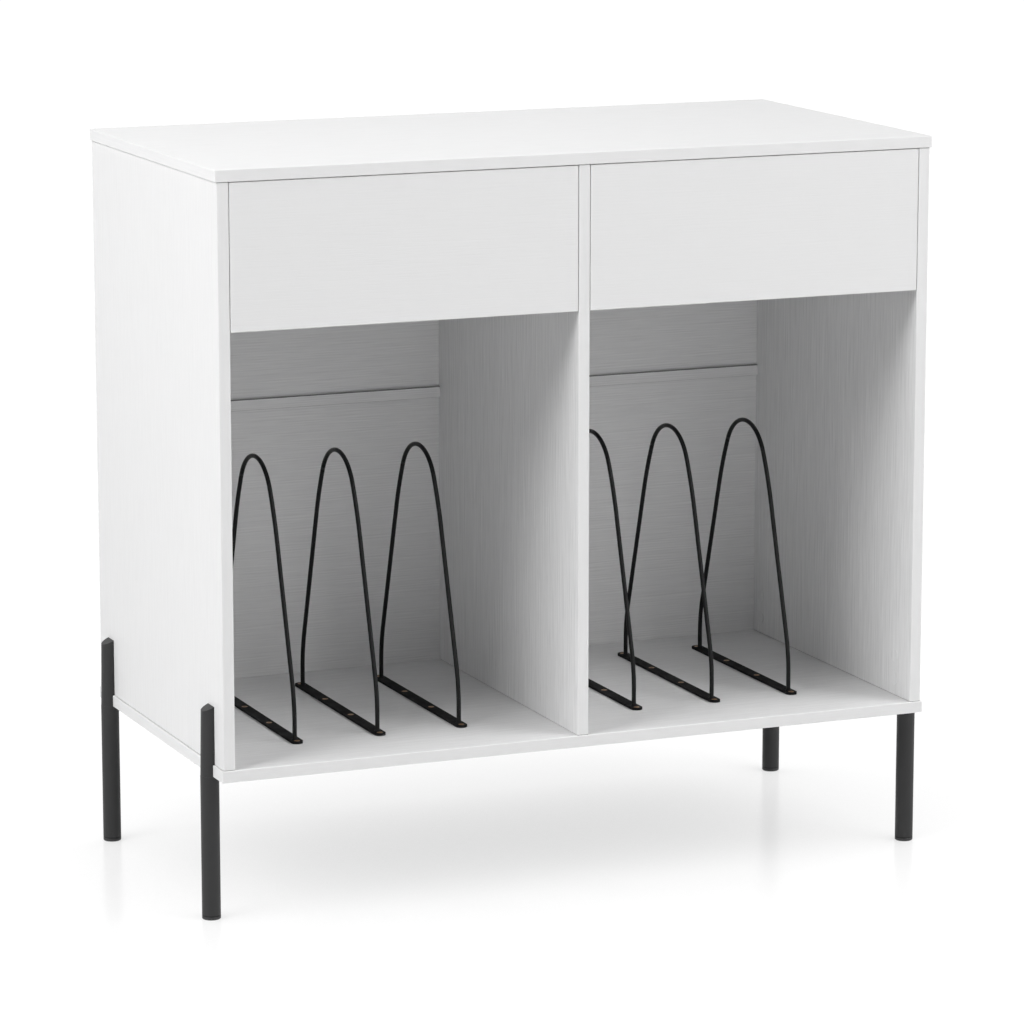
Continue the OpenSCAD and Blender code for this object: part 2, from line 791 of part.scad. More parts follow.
module drawer_bottom(bay) {
    color(laminate) in_bay(bay)
        translate([box_in_left_x - thin_in_groove, front_back_y - thin_in_groove, thin_bottom_z])
            cube([box_in_w + 2 * thin_in_groove, box_d - board_t + 2 * thin_in_groove, drawer_bottom_t]);
}

module drawer_cam_fittings(bay) {
    color(zinc) for (side = [-1, 1]) in_bay(bay, side) at_front_corner() {
        translate([-board_mid, 0, 0]) cam_stud();
        translate([0, 0, -cam_reach]) mirror([1, 0, 0]) cam_body();
    }
}

module drawer_back_screws(bay) {
    color(zinc) for (side = [-1, 1]) in_bay(bay, side) back_screws();
}

module drawer_runner_screws(bay) {
    color(zinc) for (side = [-1, 1]) in_bay(bay, side) runner_screws();
}

top_panel();
bottom_panel();
side_panel(-1);  // left_side_panel
side_panel(1);  // right_side_panel
centre_divider();
upper_back_board(-1);  // left_upper_back_board
lower_back_board(-1);  // left_lower_back_board
upper_back_board(1);  // right_upper_back_board
lower_back_board(1);  // right_lower_back_board
back_rail(-1);  // left_back_rail
back_rail(1);  // right_back_rail
leg(-1, -1);  // front_left_leg
leg(1, -1);  // front_right_leg
leg(-1, 1);  // rear_left_leg
leg(1, 1);  // rear_right_leg
foot_plug(-1, -1);  // front_left_foot_plug
foot_plug(1, -1);  // front_right_foot_plug
foot_plug(-1, 1);  // rear_left_foot_plug
foot_plug(1, 1);  // rear_right_foot_plug
record_divider(1);  // record_divider_1
record_divider(2);  // record_divider_2
record_divider(3);  // record_divider_3
record_divider(4);  // record_divider_4
record_divider(5);  // record_divider_5
record_divider(6);  // record_divider_6
divider_screws();
leg_bolts();
bolt_covers();
cabinet_cam_fittings();
dowels();
base_screws();
slide_rail_screws();
slide_rail(-1, -1);  // left_drawer_left_rail
slide_rail(-1, 1);  // left_drawer_right_rail
slide_rail(1, -1);  // right_drawer_left_rail
slide_rail(1, 1);  // right_drawer_right_rail
ball_cages(-1);  // left_drawer_ball_cages
ball_cages(1);  // right_drawer_ball_cages
drawer_front(-1);  // left_drawer_front
drawer_side(-1, -1);  // left_drawer_left_side
drawer_side(-1, 1);  // left_drawer_right_side
drawer_back(-1);  // left_drawer_back
drawer_bottom(-1);  // left_drawer_bottom
slide_runner(-1, -1);  // left_drawer_left_runner
slide_runner(-1, 1);  // left_drawer_right_runner
drawer_cam_fittings(-1);  // left_drawer_cam_fittings
drawer_back_screws(-1);  // left_drawer_back_screws
drawer_runner_screws(-1);  // left_drawer_runner_screws
drawer_front(1);  // right_drawer_front
drawer_side(1, -1);  // right_drawer_left_side
drawer_side(1, 1);  // right_drawer_right_side
drawer_back(1);  // right_drawer_back
drawer_bottom(1);  // right_drawer_bottom
slide_runner(1, -1);  // right_drawer_left_runner
slide_runner(1, 1);  // right_drawer_right_runner
drawer_cam_fittings(1);  // right_drawer_cam_fittings
drawer_back_screws(1);  // right_drawer_back_screws
drawer_runner_screws(1);  // right_drawer_runner_screws
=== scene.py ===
# %% [markdown]
# # A record player stand
# A white cabinet on four black tube legs carries a record player on its top and records in two
# open bays. The shapes and the joints come packed from the CAD model. This lesson gives every
# board, leg, wire and screw the finish of the real one, and makes the small shapes that repeat,
# the wire dividers and the screws, with Geometry Nodes.
# All sizes are in metres. The front faces -Y, the left side is -X, and Z = 0 is the floor.

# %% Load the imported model
import math
import bpy
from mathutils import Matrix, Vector


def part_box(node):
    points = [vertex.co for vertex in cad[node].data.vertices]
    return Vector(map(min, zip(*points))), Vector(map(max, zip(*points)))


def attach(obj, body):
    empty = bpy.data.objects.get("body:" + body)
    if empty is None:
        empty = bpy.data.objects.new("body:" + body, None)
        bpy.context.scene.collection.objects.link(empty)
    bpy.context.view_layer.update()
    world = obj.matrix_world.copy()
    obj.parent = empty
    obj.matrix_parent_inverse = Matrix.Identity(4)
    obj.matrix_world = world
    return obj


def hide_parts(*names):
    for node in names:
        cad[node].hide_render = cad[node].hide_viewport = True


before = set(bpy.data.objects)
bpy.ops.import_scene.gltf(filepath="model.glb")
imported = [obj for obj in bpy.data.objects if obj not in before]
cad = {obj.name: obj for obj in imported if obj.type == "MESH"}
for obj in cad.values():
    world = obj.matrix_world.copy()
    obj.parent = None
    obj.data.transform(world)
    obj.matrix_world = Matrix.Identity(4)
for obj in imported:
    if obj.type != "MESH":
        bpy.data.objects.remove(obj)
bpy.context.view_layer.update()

# %% [markdown]
# ## The camera
# The stand is seen from the left and from a little above, with a long lens, so that its edges
# stay nearly parallel. A long lens from far away is the usual choice for furniture: a short lens
# close by would make the near corner look too big. The camera is turned by plain angles, one
# about the vertical and one downwards.

# %% Camera
eye = (-1.8060, -4.3256, 1.2749)
turn_to_right = math.radians(22.713)
tilt_down = math.radians(11.084)

camera = bpy.data.objects.new("camera", bpy.data.cameras.new("camera"))
camera.location = eye
camera.rotation_euler = (math.radians(90) - tilt_down, 0, -turn_to_right)
camera.data.lens = 159.3            # in millimetres, for a frame that is 36 mm wide
camera.data.sensor_width = 36
camera.data.clip_end = 100
bpy.context.scene.collection.objects.link(camera)
bpy.context.scene.camera = camera
bpy.context.scene.view_settings.view_transform = "Standard"
print("camera at", eye, "with a lens of", camera.data.lens, "mm")

# %% [markdown]
# ## Helpers for node trees
# Materials and Geometry Nodes are both trees of nodes. They could be clicked together by hand,
# but written out they can be read, changed and run again. One short helper adds a node, makes
# its settings, and fills its inputs: a value goes into the input's own field, and the output of
# another node becomes a link. The other helpers cover the nodes that are used most.

# %% Node helpers
def add(tree, kind, inputs=None, **settings):
    """Adds one node, with its settings, and with its inputs set or linked by name or number."""
    node = tree.nodes.new(kind)
    for name, value in settings.items():
        setattr(node, name, value)
    for key, value in (inputs or {}).items():
        if isinstance(value, bpy.types.NodeSocket):
            tree.links.new(value, node.inputs[key])
        else:
            node.inputs[key].default_value = value
    return node


def maths(tree, operation, *values, clamp=False):
    """The result of one Math node."""
    node = add(tree, "ShaderNodeMath", dict(enumerate(values)),
               operation=operation, use_clamp=clamp)
    return node.outputs[0]


def half(tree, value):
    """Half of a number, such as a radius from a diameter."""
    return maths(tree, "MULTIPLY", value, 0.5)


def vectors(tree, operation, *values):
    """The result of one Vector Math node: a number for LENGTH, else a vector."""
    node = add(tree, "ShaderNodeVectorMath", dict(enumerate(values)), operation=operation)
    return node.outputs["Value" if operation == "LENGTH" else "Vector"]


def scaled(tree, vector, by):
    """A vector made longer or shorter."""
    node = add(tree, "ShaderNodeVectorMath", {0: vector, "Scale": by}, operation="SCALE")
    return node.outputs["Vector"]


def axes_of(tree, vector):
    """The X, Y and Z of a vector."""
    return add(tree, "ShaderNodeSeparateXYZ", {0: vector}).outputs


def ramp(tree, value, low, high, to_low=0.0, to_high=1.0):
    """Takes a value from one range to another, with smooth ends."""
    node = add(tree, "ShaderNodeMapRange", {0: value, 1: low, 2: high, 3: to_low, 4: to_high},
               interpolation_type="SMOOTHSTEP")
    return node.outputs[0]


def mixed(tree, factor, first, second, kind="RGBA"):
    """Mixes two colours (RGBA) or two numbers (FLOAT)."""
    first_socket, second_socket, result = {"RGBA": (6, 7, 2), "FLOAT": (2, 3, 0)}[kind]
    node = add(tree, "ShaderNodeMix", {0: factor, first_socket: first, second_socket: second},
               data_type=kind)
    return node.outputs[result]


print("node helpers ready")

# %% [markdown]
# ## Helpers for materials
# Every finish here starts and ends the same way. It starts from the place of a point on its
# piece, so that a pattern moves with the piece, and it ends in one Principled surface with a fine
# relief, which is the usual way to describe paint, metal, plastic and wood alike.

# %% Material helpers
def new_material(name):
    """An empty material: its tree, its output node, and the coordinates of a point on it."""
    material = bpy.data.materials.new(name)
    material.use_nodes = True
    tree = material.node_tree
    tree.nodes.clear()
    out = add(tree, "ShaderNodeOutputMaterial")
    return material, tree, out, add(tree, "ShaderNodeTexCoord").outputs


def grey(level, cool=0.0):
    """A grey that throws back that share of the light, with a little more or less blue."""
    return (level, level, level + cool, 1)


def noise(tree, place, scale, detail):
    """Even noise, about as many lumps to the metre as the scale says."""
    node = add(tree, "ShaderNodeTexNoise", {"Vector": place, "Scale": scale, "Detail": detail})
    return node.outputs[0]


def end_material(tree, out, colour, roughness, heights, strength, depth, constants=None):
    """Closes a material with one surface and the relief that is pressed into it.

    strength and depth: how much the relief's heights show, and how deep they go.
    constants: inputs of the surface that are the same all over."""
    relief = add(tree, "ShaderNodeBump", {
        "Strength": strength, "Distance": depth, "Height": heights})
    surface = add(tree, "ShaderNodeBsdfPrincipled", {
        "Base Color": colour, "Roughness": roughness, "Normal": relief.outputs[0],
        **(constants or {})})
    tree.links.new(surface.outputs[0], out.inputs["Surface"])


def dress(node, material):
    """Gives a CAD piece its material."""
    mesh = cad[node].data
    if not mesh.materials:
        mesh.materials.append(material)
    for i in range(len(mesh.materials)):
        mesh.materials[i] = material


print("material helpers ready")

# %% [markdown]
# ## The studio
# The stand is shown on a white floor that runs into a white background. The floor could be made
# white with more light, but then the white boards would burn out too. So the light stays plain,
# and the floor adds a little glow of its own, only for rays that come from the camera or from a
# shiny surface. The glow stands for light from a wide white room, so it is weaker where the stand
# hides the room from the floor: an Ambient Occlusion node measures that. The lamps' own shadow
# lies over it. Far from the stand the floor turns to plain white, so that no horizon shows.

# %% Floor
FLOOR_RADIUS, FLOOR_CORNERS = 16.0, 96
FLOOR_WHITE = 0.80                     # the floor as the lamps' light meets it
PAPER_WHITE, GLOSS_SHARE = 0.12, 0.10  # the seen floor takes little light, and shines a little
SHADE_REACH, SHADE_POWER = 0.5, 0.8    # how far off, and how softly, the stand hides the room
HIDDEN_GLOW, ROOM_GLOW = 0.475, 0.44   # glow where the room is hidden, and what the room adds
FADE_START, FADE_END = 0.8, 1.8        # distances over which the floor turns to plain white
BACKDROP_GLOW = 1.05


def seen_directly(tree):
    """1 for rays of the camera and for rays that a shiny or clear surface sends on, else 0."""
    rays = add(tree, "ShaderNodeLightPath").outputs
    shiny = maths(tree, "MAXIMUM", rays["Is Glossy Ray"], rays["Is Transmission Ray"])
    return maths(tree, "MAXIMUM", rays["Is Camera Ray"], shiny)


def blended(tree, share, first, second):
    """Blends the shaders of two nodes: the share is that of the second."""
    return add(tree, "ShaderNodeMixShader", {
        0: share, 1: first.outputs[0], 2: second.outputs[0]})


def floor_material():
    """A plain white floor for the lamps' light, with glow and a soft shine where it is seen."""
    material, tree, out, where = new_material("studio floor")
    plain = add(tree, "ShaderNodeBsdfDiffuse", {"Color": grey(FLOOR_WHITE)})
    paper = add(tree, "ShaderNodeBsdfDiffuse", {"Color": grey(PAPER_WHITE)})
    uneven = noise(tree, where["Object"], 9.0, 3.0)
    shine = add(tree, "ShaderNodeBsdfGlossy", {
        "Color": grey(1.0), "Roughness": ramp(tree, uneven, 0.3, 0.7, 0.16, 0.22)})
    open_sky = add(tree, "ShaderNodeAmbientOcclusion", {"Distance": SHADE_REACH}, samples=12)
    room_share = maths(tree, "POWER", open_sky.outputs["AO"], SHADE_POWER)
    glow = add(tree, "ShaderNodeEmission", {
        "Color": grey(1.0),
        "Strength": maths(tree, "MULTIPLY_ADD", room_share, ROOM_GLOW, HIDDEN_GLOW)})
    backdrop = add(tree, "ShaderNodeEmission", {"Color": grey(1.0), "Strength": BACKDROP_GLOW})
    near = add(tree, "ShaderNodeAddShader", {
        0: blended(tree, GLOSS_SHARE, paper, shine).outputs[0], 1: glow.outputs[0]})
    away = vectors(tree, "LENGTH", where["Object"])
    seen = blended(tree, ramp(tree, away, FADE_START, FADE_END), near, backdrop)
    final = blended(tree, seen_directly(tree), plain, seen)
    tree.links.new(final.outputs[0], out.inputs["Surface"])
    return material


mesh = bpy.data.meshes.new("floor")
turns = [math.tau * i / FLOOR_CORNERS for i in range(FLOOR_CORNERS)]
mesh.from_pydata([(FLOOR_RADIUS * math.cos(a), FLOOR_RADIUS * math.sin(a), 0.0) for a in turns],
                 [], [tuple(range(FLOOR_CORNERS))])
mesh.materials.append(floor_material())
floor = bpy.data.objects.new("floor", mesh)
bpy.context.scene.collection.objects.link(floor)
print("floor of", FLOOR_RADIUS, "m radius ready")

# %% [markdown]
# ## The light
# Soft light comes from four big panels and, a little, from the room around. The strongest panel
# hangs high on the left, so that the left side and the top are bright, the front is a little
# darker, and the bays fall into soft shade towards the back. Two weaker ones on the right light
# the drawer fronts from an angle that keeps the seen walls of the bays in shade, and a faint one
# behind keeps the back from going dull. Large panels give shadows with wide, soft edges. The
# room itself is white to the camera, but gives only a little light.

# %% Lamps and room light
aim = Vector((0.0, 0.0, 0.4))
panels = {  # place, width and height in metres, and watts
    "left lamp": ((-3.0, -0.8, 2.8), (2.0, 2.0), 126),
    "right lamp": ((2.6, -2.0, 3.0), (2.0, 2.0), 92),
    "right front lamp": ((1.8, -3.6, 2.2), (2.0, 2.0), 30),
    "rear lamp": ((0.6, 3.4, 2.6), (2.4, 2.0), 8),
}
ROOM_LIGHT = 0.16

for name, (place, size, watts) in panels.items():
    lamp = bpy.data.lights.new(name, "AREA")
    lamp.shape = "RECTANGLE"
    lamp.size, lamp.size_y = size
    lamp.energy = watts
    panel = bpy.data.objects.new(name, lamp)
    panel.location = place
    panel.rotation_euler = (aim - Vector(place)).to_track_quat("-Z", "Y").to_euler()
    bpy.context.scene.collection.objects.link(panel)

world = bpy.data.worlds.new("room")
world.use_nodes = True
room = world.node_tree
room.nodes.clear()
room_light = add(room, "ShaderNodeBackground", {"Color": grey(1.0), "Strength": ROOM_LIGHT})
room_white = add(room, "ShaderNodeBackground", {"Color": grey(1.0), "Strength": 1.0})
room_both = blended(room, seen_directly(room), room_light, room_white)
room_out = add(room, "ShaderNodeOutputWorld")
room.links.new(room_both.outputs[0], room_out.inputs["Surface"])
bpy.context.scene.world = world
print(len(panels), "lamps of", sum(watts for _, _, watts in panels.values()), "watts in all")

# %% [markdown]
# ## White wood-grain foil
# The boards are chipboard under a white foil that is pressed with a fine, straight wood grain.
# The grain could be an image, but then it would have to be laid on every board by hand. Here it
# is made of fine straight lines that wander a little and come and go, with noise that is
# stretched along the board for fibres, for short pores and for a broad change of tone. Noise
# alone looks smeared; the lines keep it crisp. The pressed grain also makes a small bump and a
# change of gloss. The outer faces are smooth and even, and inside the bays the grain shows more.
# On the narrow ends of a board a separate edge band is glued, whose grain runs along the edge, so
# the pattern is turned there. The last millimetre at every edge is rubbed a little smoother, and
# lightened a little as a painted highlight on the chamfers. Where a board stands against another,
# a fine dark line of painted shade stands for the contact shadow in the joint. Each board takes
# another part of the pattern, as boards cut from different sheets do. The thin back boards and
# the rails between them take the same foil a shade whiter, a painted light for the stronger light
# that reaches the back of the bays.

# %% Helpers for grain
LENGTHWISE, FRONT_TO_BACK, UPRIGHT = 0, 1, 2


def along(axis, length, width):
    """Sizes for X, Y and Z: that length along an axis, and that width across it."""
    return [length if i == axis else width for i in range(3)]


def streaks(tree, place, stretch, shift, detail):
    """Noise that is drawn out to lengths in metres for X, Y and Z."""
    squeezed = add(tree, "ShaderNodeMapping", {
        "Vector": place, "Location": shift, "Scale": [1 / size for size in stretch]})
    drawn_out = add(tree, "ShaderNodeTexNoise", {
        "Vector": squeezed.outputs[0], "Scale": 1.0, "Detail": detail, "Roughness": 0.55})
    return drawn_out.outputs[0]


def rim_of_box(tree, place, low, high):
    """Distance to the nearest edge of a board, on its faces."""
    centre = [(a + b) / 2 for a, b in zip(low, high)]
    half_size = [(b - a) / 2 for a, b in zip(low, high)]
    from_centre = vectors(tree, "ABSOLUTE", vectors(tree, "SUBTRACT", place, centre))
    depth = axes_of(tree, vectors(tree, "SUBTRACT", half_size, from_centre))
    nearer = maths(tree, "MINIMUM", depth[0], depth[1])
    farther = maths(tree, "MAXIMUM", depth[0], depth[1])
    return maths(tree, "MAXIMUM", nearer, maths(tree, "MINIMUM", farther, depth[2]))


print("grain helpers ready")

# %% Inside or outside of the cabinet
side_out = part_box("right_side_panel")[1][0]
fronts_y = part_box("right_side_panel")[0][1]
floor_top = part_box("bottom_panel")[1][2]
top_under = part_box("top_panel")[0][2]
SKIN = 0.0004       # a face this near to the outside counts as outside


def inside_cabinet(tree, place):
    """1 on the faces inside the cabinet, 0 on its outer faces."""
    axes = axes_of(tree, place)
    tests = [maths(tree, "LESS_THAN", maths(tree, "ABSOLUTE", axes[0]), side_out - SKIN),
             maths(tree, "GREATER_THAN", axes[1], fronts_y + SKIN),
             maths(tree, "GREATER_THAN", axes[2], floor_top - SKIN),
             maths(tree, "LESS_THAN", axes[2], top_under + SKIN)]
    inside = tests[0]
    for test in tests[1:]:
        inside = maths(tree, "MULTIPLY", inside, test)
    return inside


print("the bays lie between",
      [round(v, 4) for v in (-side_out, side_out, fronts_y, floor_top, top_under)])

# %% Foil for one board
# The back boards and rails take a lighter copy of the foil: painted light for the stronger light
# that reaches the back of the bays.
FOIL_WHITE, PAINTED_LIGHT_BACK_WHITE = 0.757, 0.815   # share of the light that each throws back
WHITE_SPREAD = 0.052                     # how far the grain takes it up and down
FINE_PITCH, WIDE_PITCH = 0.0029, 0.0065  # spacing of the lines on lying and on standing boards
OUTSIDE_CONTRAST, INSIDE_CONTRAST = 0.14, 1.0
BLUE_TINGE = 0.002


def white_foil(name, axis, low, high, number, joints=(), white=FOIL_WHITE):
    """White foil whose grain runs along an axis of the board in that box.

    number: picks the board's part of the pattern. joints: heights at which the board stands
    against another, where a fine dark line of painted shade stands for the contact shadow, and
    how strong each line is."""
    material, tree, out, where = new_material(name)
    place = where["Object"]
    axes = axes_of(tree, place)
    pitch = WIDE_PITCH if axis == UPRIGHT else FINE_PITCH
    shift = [7.3 * number + 1.7 * i for i in range(3)]
    band_axis = UPRIGHT if axis == FRONT_TO_BACK else FRONT_TO_BACK
    facing = axes_of(tree, vectors(tree, "ABSOLUTE", where["Normal"]))[axis]
    on_end = maths(tree, "GREATER_THAN", facing, 0.7)

    def face_or_band(pattern):
        """A pattern along the board, and along the edge band on its ends."""
        return mixed(tree, on_end, pattern(axis), pattern(band_axis), "FLOAT")

    def grain(length, width, detail):
        """Streaks of that length and width."""
        return face_or_band(
            lambda way: streaks(tree, place, along(way, length, width), shift, detail))

    def rows(way):
        """Fine straight lines along an axis, from -1 to 1, a little uneven in their spacing."""
        across = maths(tree, "ADD", *[axes[i] for i in range(3) if i != way])
        wander = streaks(tree, place, along(way, 0.25, 0.015), shift, 1.0)
        turns = maths(tree, "MULTIPLY_ADD", wander, 2.5, maths(tree, "DIVIDE", across, pitch))
        return maths(tree, "SINE", maths(tree, "MULTIPLY", turns, math.tau))

    fibres = ramp(tree, grain(0.050, 0.6 * pitch, 1.0), 0.34, 0.66)
    patches = ramp(tree, grain(0.045, 1.6 * pitch, 1.0), 0.42, 0.66)
    tone = grain(0.25, 0.060, 2.0)
    pores = ramp(tree, grain(0.024, 0.4 * pitch, 0.0), 0.60, 0.78)
    lines = maths(tree, "MULTIPLY", face_or_band(rows), patches)
    rim_wear_and_highlight = ramp(tree, rim_of_box(tree, place, low, high), 0.0003, 0.0016, 1.0, 0.0)

    # How light the foil is, from 0 to 1: lines, fibres, tone and pores, each by its strength
    light = maths(tree, "MULTIPLY", lines, 0.42)
    light = maths(tree, "MULTIPLY_ADD", maths(tree, "SUBTRACT", fibres, 0.5), 0.32, light)
    light = maths(tree, "MULTIPLY_ADD", maths(tree, "SUBTRACT", tone, 0.5), 0.18, light)
    light = maths(tree, "MULTIPLY_ADD", pores, -0.20, light)
    contrast = maths(tree, "MULTIPLY_ADD", inside_cabinet(tree, place),
                     INSIDE_CONTRAST - OUTSIDE_CONTRAST, OUTSIDE_CONTRAST)
    light = maths(tree, "MULTIPLY_ADD", light, contrast, 0.5, clamp=True)

    colour = mixed(tree, light, grey(white - WHITE_SPREAD, BLUE_TINGE),
                   grey(white + WHITE_SPREAD, BLUE_TINGE))
    # Painted highlight: the last millimetre at each edge is lightened, where the chamfers catch
    # the light.
    colour = mixed(tree, maths(tree, "MULTIPLY", rim_wear_and_highlight, 0.30), colour, grey(0.84))
    # Painted shade: a fine dark line at each joint height stands for the contact shadow where
    # boards meet.
    for joint, strength in joints:
        line = maths(tree, "MULTIPLY", maths(tree, "COMPARE", axes[2], joint, 0.0006), strength)
        colour = mixed(tree, line, colour, grey(0.22))

    # Fibres and the rubbed rim are smoother, pores are rougher and deeper
    gloss = ramp(tree, fibres, 0.0, 1.0, 0.50, 0.41)
    gloss = maths(tree, "MULTIPLY_ADD", pores, 0.12, gloss)
    gloss = maths(tree, "MULTIPLY_ADD", rim_wear_and_highlight, -0.10, gloss)
    heights = maths(tree, "MULTIPLY_ADD", pores, -0.8, maths(tree, "MULTIPLY", fibres, 0.4))
    end_material(tree, out, colour, gloss, heights, 0.25, 0.00016, {"Specular IOR Level": 0.4})
    return material


print("foil throws back", FOIL_WHITE, "of the light, and paint", PAINTED_LIGHT_BACK_WHITE)

# %% All the boards
boards = {"top_panel": LENGTHWISE, "bottom_panel": LENGTHWISE, "left_side_panel": UPRIGHT,
          "right_side_panel": UPRIGHT, "centre_divider": UPRIGHT}
for side in ("left", "right"):
    for board in ("upper_back_board", "lower_back_board", "back_rail", "drawer_front"):
        boards[f"{side}_{board}"] = LENGTHWISE
    for hand in ("left", "right"):
        boards[f"{side}_drawer_{hand}_side"] = FRONT_TO_BACK
    for board in ("drawer_back", "drawer_bottom"):
        boards[f"{side}_{board}"] = LENGTHWISE

for number, (node, axis) in enumerate(boards.items()):
    low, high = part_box(node)
    # Painted shade lines: at both ends of the uprights, and along both edges of the back rails,
    # the lower one fainter.
    joints = ()
    if node in ("left_side_panel", "right_side_panel", "centre_divider"):
        joints = ((low[2], 1.0), (high[2], 1.0))
    elif node.endswith("_back_rail"):
        joints = ((low[2], 0.35), (high[2], 1.0))
    # Painted light: the back boards and back rails get the lighter copy of the foil.
    white = PAINTED_LIGHT_BACK_WHITE if "_back_board" in node or "_back_rail" in node else FOIL_WHITE
    dress(node, white_foil("white foil of " + node, axis, low, high, number, joints, white))
print(len(boards), "boards under white foil")

# %% [markdown]
# ## Black powder coat
# The legs are steel tube under a matt powder coat. The powder melts to a skin with the fine
# dimples of an orange peel, and it is a little thinner, so a little glossier, here and there.
# A flat black would look like plastic, so dimples a millimetre or two wide are pressed in as a
# bump, with finer grit in the colour. At its cut lower end, where the plastic foot begins, a dark
# ring of painted shade stands for the shadow in the seam. The foot itself is moulded plastic with
# a fine spark texture, scuffed grey where it stands on the floor.

# %% Powder coat and moulded plastic
def powder_coat(name, seam):
    """Matt powder coat, with a dark ring of painted shade at the height of the seam."""
    material, tree, out, where = new_material(name)
    place = where["Object"]
    dimples = noise(tree, place, 620.0, 2.0)
    clouds = noise(tree, place, 45.0, 3.0)
    grit = add(tree, "ShaderNodeTexVoronoi", {"Vector": place, "Scale": 1500.0})
    shade = maths(tree, "MULTIPLY_ADD", grit.outputs["Distance"], 0.35,
                  maths(tree, "MULTIPLY", clouds, 0.7), clamp=True)
    colour = mixed(tree, shade, grey(0.0193, 0.0004), grey(0.0310, 0.0005))
    # Painted shade: the coat turns near black just above the seam, for the shadow in the groove
    # where the foot plug begins.
    ring = ramp(tree, axes_of(tree, place)[2], seam + 0.0005, seam + 0.0012, 1.0, 0.0)
    colour = mixed(tree, ring, colour, grey(0.003))
    end_material(tree, out, colour, ramp(tree, clouds, 0.3, 0.7, 0.44, 0.56),
                 dimples, 0.35, 0.0001, {"Specular IOR Level": 0.3})
    return material


def moulded_plastic(name):
    """Black plastic with a spark texture, scuffed over its lowest two millimetres."""
    material, tree, out, where = new_material(name)
    place = where["Object"]
    spark = noise(tree, place, 1400.0, 1.0)
    worn = noise(tree, place, 90.0, 3.0)
    low_down = ramp(tree, axes_of(tree, place)[2], 0.0, 0.0022, 1.0, 0.0)
    scuffed = maths(tree, "MULTIPLY", low_down, worn)
    colour = mixed(tree, scuffed, grey(0.018, 0.001), grey(0.060, -0.002))
    end_material(tree, out, colour, ramp(tree, worn, 0.3, 0.7, 0.42, 0.60),
                 spark, 0.3, 0.00005)
    return material


black_coat = powder_coat("black powder coat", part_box("front_left_leg")[0][2])
black_plastic = moulded_plastic("black moulded plastic")
corners = [f"{end}_{side}" for end in ("front", "rear") for side in ("left", "right")]
for corner in corners:
    dress(corner + "_leg", black_coat)
    dress(corner + "_foot_plug", black_plastic)
print("legs:", corners)

# %% [markdown]
# ## Wire enamel, steel, bronze and beech
# The dividers are wire under a thinner, smoother black paint, so a light line runs along them.
# The flat strip under the wire got less paint and stays dull. The fittings are zinc-plated steel,
# whose shine is a little clouded and brushed along the strip that they were rolled from. The
# divider screws are bronze-coloured, and the dowels are beech with fine short dashes. A metal is
# told from a plastic by Metallic 1 and by what it mirrors.

# %% Paint, metals and dowel wood
def black_paint(name, dark, light, roughness, specular):
    """Sprayed black paint with a fine ripple: duller or glossier."""
    material, tree, out, where = new_material(name)
    ripple = noise(tree, where["Object"], 900.0, 2.0)
    clouds = noise(tree, where["Object"], 70.0, 3.0)
    end_material(tree, out, mixed(tree, clouds, dark, light),
                 ramp(tree, clouds, 0.3, 0.7, roughness[0], roughness[1]),
                 ripple, 0.25, 0.00005, {"Specular IOR Level": specular})
    return material


def brushed_metal(name, dark, light, stretch, roughness):
    """Metal with scratches of those lengths along X, Y and Z, a little clouded."""
    material, tree, out, where = new_material(name)
    brushed = streaks(tree, where["Object"], stretch, (0.0, 0.0, 0.0), 3.0)
    clouds = noise(tree, where["Object"], 240.0, 3.0)
    end_material(tree, out, mixed(tree, ramp(tree, clouds, 0.3, 0.7), dark, light),
                 ramp(tree, brushed, 0.3, 0.7, roughness[0], roughness[1]),
                 brushed, 0.25, 0.00004, {"Metallic": 1.0})
    return material


def beech_wood(name):
    """Bare beech that stands upright, with fine fibres and short dark flecks."""
    material, tree, out, where = new_material(name)
    place = where["Object"]
    fibres = streaks(tree, place, along(UPRIGHT, 0.012, 0.0006), (0.0, 0.0, 0.0), 3.0)
    dashes = streaks(tree, place, along(UPRIGHT, 0.003, 0.0004), (5.0, 2.0, 1.0), 1.0)
    flecks = maths(tree, "MULTIPLY", ramp(tree, dashes, 0.58, 0.70), 0.6)
    colour = mixed(tree, ramp(tree, fibres, 0.3, 0.7),
                   (0.56, 0.36, 0.18, 1), (0.72, 0.52, 0.30, 1))
    colour = mixed(tree, flecks, colour, (0.34, 0.19, 0.09, 1))
    end_material(tree, out, colour, ramp(tree, fibres, 0.3, 0.7, 0.70, 0.58),
                 fibres, 0.3, 0.0001)
    return material


enamel = black_paint("black wire enamel", grey(0.0040, 0.0003), grey(0.0080, 0.0004),
                     (0.36, 0.46), 0.18)
strip_paint = black_paint("dull black strip paint", grey(0.0030, 0.0002), grey(0.0055, 0.0005),
                          (0.62, 0.72), 0.12)
zinc = brushed_metal("zinc-plated steel", (0.50, 0.51, 0.53, 1), (0.66, 0.67, 0.68, 1),
                     along(FRONT_TO_BACK, 0.020, 0.0005), (0.26, 0.40))
bronze = brushed_metal("bronze-coloured screw", (0.28, 0.165, 0.086, 1), (0.47, 0.30, 0.17, 1),
                       (0.0006, 0.0006, 0.0006), (0.30, 0.44))
print("finishes:", [finish.name for finish in (enamel, strip_paint, zinc, bronze)])

